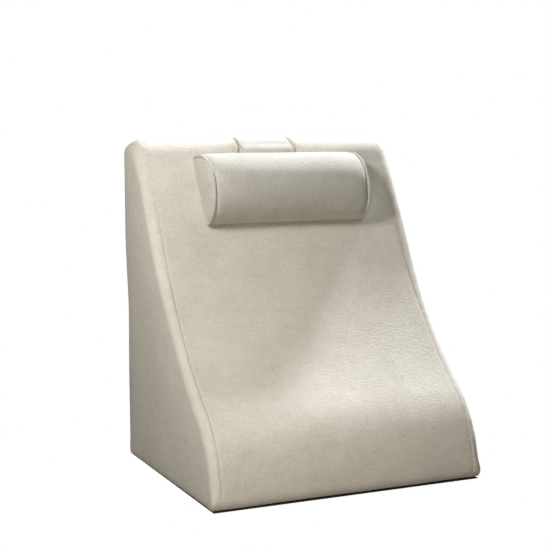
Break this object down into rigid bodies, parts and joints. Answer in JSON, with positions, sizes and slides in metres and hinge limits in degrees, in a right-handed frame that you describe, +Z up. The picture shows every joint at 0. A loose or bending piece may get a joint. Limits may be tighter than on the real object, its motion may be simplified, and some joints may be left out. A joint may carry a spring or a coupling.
{
  "type": "wedge backrest with neck bolster",
  "caption": "Foam wedge backrest with an S-curved face and a half-round neck bolster hung on a wide strap over the ridge; zipped fabric covers.",
  "frame": {"origin": "middle of the footprint, on the surface the wedge stands on", "axes": "+X to the right across the width, -Y out of the S-curved face, +Y out of the upright back, +Z up"},
  "size_m": [0.6, 0.5078, 0.7043],
  "materials": {
    "velour": "cream cotton velour with a short looped pile",
    "welt": "cream self-fabric piping over a soft cord",
    "grip_cloth": "dark woven base fabric with small grip dots",
    "firm_foam": "firm open-cell polyurethane foam",
    "soft_foam": "soft open-cell polyurethane foam",
    "zip_tape": "woven polyester zip tape",
    "zip_coil": "polyester zip coil",
    "hook_tape": "nylon hook tape",
    "loop_tape": "brushed nylon loop tape",
    "zip_metal": "nickel-plated zip metal"
  },
  "bodies": {
    "backrest": {"backrest_core_foam": "firm_foam", "backrest_comfort_foam": "soft_foam", "cover_front_panel": "velour", "cover_side_left": "velour", "cover_side_right": "velour", "cover_back_panel": "velour", "cover_back_hem_strip": "velour", "cover_base_panel": "grip_cloth", "cover_zip_tape_upper": "zip_tape", "cover_zip_tape_lower": "zip_tape", "cover_zip_coil_upper": "zip_coil", "cover_zip_coil_lower": "zip_coil", "cover_zip_top_stop_upper": "zip_metal", "cover_zip_top_stop_lower": "zip_metal", "cover_zip_bottom_stop": "zip_metal", "strap_top_section": "velour", "back_loop_tape": "loop_tape"},
    "strap_front": {"strap_end_tab": "velour", "strap_front_section": "velour"},
    "strap_rear": {"strap_rear_section": "velour", "strap_hook_tape": "hook_tape"},
    "bolster": {"bolster_core_foam": "soft_foam", "bolster_cover_wrap": "velour", "bolster_back_panel": "velour", "bolster_back_hem_strip": "velour", "bolster_end_left": "velour", "bolster_end_right": "velour", "bolster_welt_left": "welt", "bolster_welt_right": "welt", "bolster_zip_tape_upper": "zip_tape", "bolster_zip_tape_lower": "zip_tape", "bolster_zip_coil_upper": "zip_coil", "bolster_zip_coil_lower": "zip_coil", "bolster_zip_top_stop_upper": "zip_metal", "bolster_zip_top_stop_lower": "zip_metal", "bolster_zip_bottom_stop": "zip_metal"},
    "cover_zip_slider": {"cover_zip_slider": "zip_metal"},
    "cover_zip_pull": {"cover_zip_pull": "zip_metal"},
    "bolster_zip_slider": {"bolster_zip_slider": "zip_metal"}
  },
  "joints": [
    {"name": "bolster_height", "type": "slide", "parent": "backrest", "child": "strap_front", "axis": [0, 0.4695, 0.8829], "range_m": [-0.09, 0.012], "deforming": ["strap_front_section"]},
    {"name": "strap_rear_travel", "type": "slide", "parent": "backrest", "child": "strap_rear", "axis": [0, 0, 1], "range_m": [-0.012, 0.09], "deforming": ["strap_rear_section"]},
    {"name": "bolster_lift", "type": "hinge", "parent": "strap_front", "child": "bolster", "pos_m": [0.008, 0.1525, 0.6585], "axis": [-1, 0, 0], "range_deg": [0, 60]},
    {"name": "cover_zip_travel", "type": "slide", "parent": "backrest", "child": "cover_zip_slider", "axis": [1, 0, 0], "range_m": [-0.52, 0]},
    {"name": "cover_zip_pull_swing", "type": "hinge", "parent": "cover_zip_slider", "child": "cover_zip_pull", "pos_m": [0.26, 0.24535, 0.06], "axis": [0, 0, -1], "range_deg": [0, 180]},
    {"name": "bolster_zip_travel", "type": "slide", "parent": "bolster", "child": "bolster_zip_slider", "axis": [1, 0, 0], "range_m": [-0.28, 0]}
  ],
  "couplings": [
    {"joint": "strap_rear_travel", "follows": "bolster_height", "ratio": -1}
  ]
}
